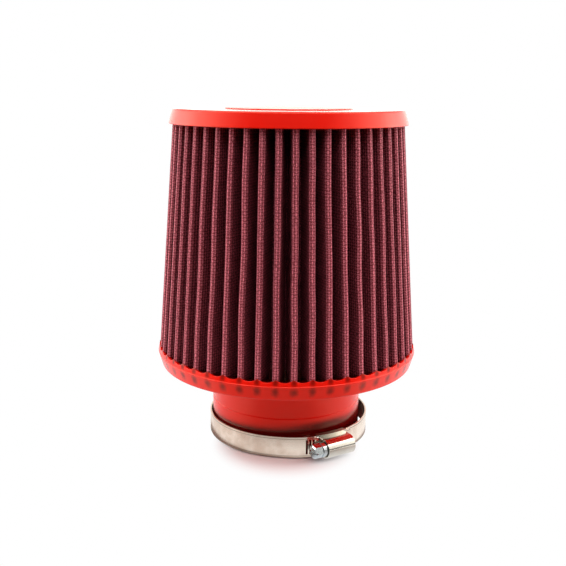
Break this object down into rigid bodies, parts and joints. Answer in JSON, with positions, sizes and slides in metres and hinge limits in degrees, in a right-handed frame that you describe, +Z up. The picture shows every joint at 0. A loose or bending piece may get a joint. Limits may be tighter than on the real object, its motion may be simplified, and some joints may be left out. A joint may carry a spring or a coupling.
{
  "type": "cone air filter",
  "caption": "Conical pleated air filter with a red moulded neck and closed cap, and a loose worm drive clamp round the neck.",
  "frame": {"origin": "centre of the neck's bore at its rim, on the surface that the filter stands on", "axes": "+Z up the filter's axis towards the cap, -Y the front as in the picture, +X to the right"},
  "size_m": [0.1512, 0.1512, 0.1905],
  "materials": {
    "red_moulding": "satin polyurethane",
    "wire_screen": "fine woven wire, red from the oil",
    "red_gauze": "oiled cotton gauze",
    "band_steel": "bright rolled steel",
    "zinc_steel": "zinc plated"
  },
  "bodies": {
    "filter": {"base_moulding": "red_moulding", "top_cap": "red_moulding", "outer_screen": "wire_screen", "gauze_media": "red_gauze", "inner_screen": "wire_screen", "clamp_band": "band_steel", "clamp_housing": "band_steel"},
    "screw": {"clamp_screw": "zinc_steel"}
  },
  "joints": [
    {"name": "screw_turn", "type": "hinge", "parent": "filter", "child": "screw", "pos_m": [0.02879, -0.04467, 0.0066], "axis": [0.8517, 0.524, 0], "continuous": true}
  ]
}
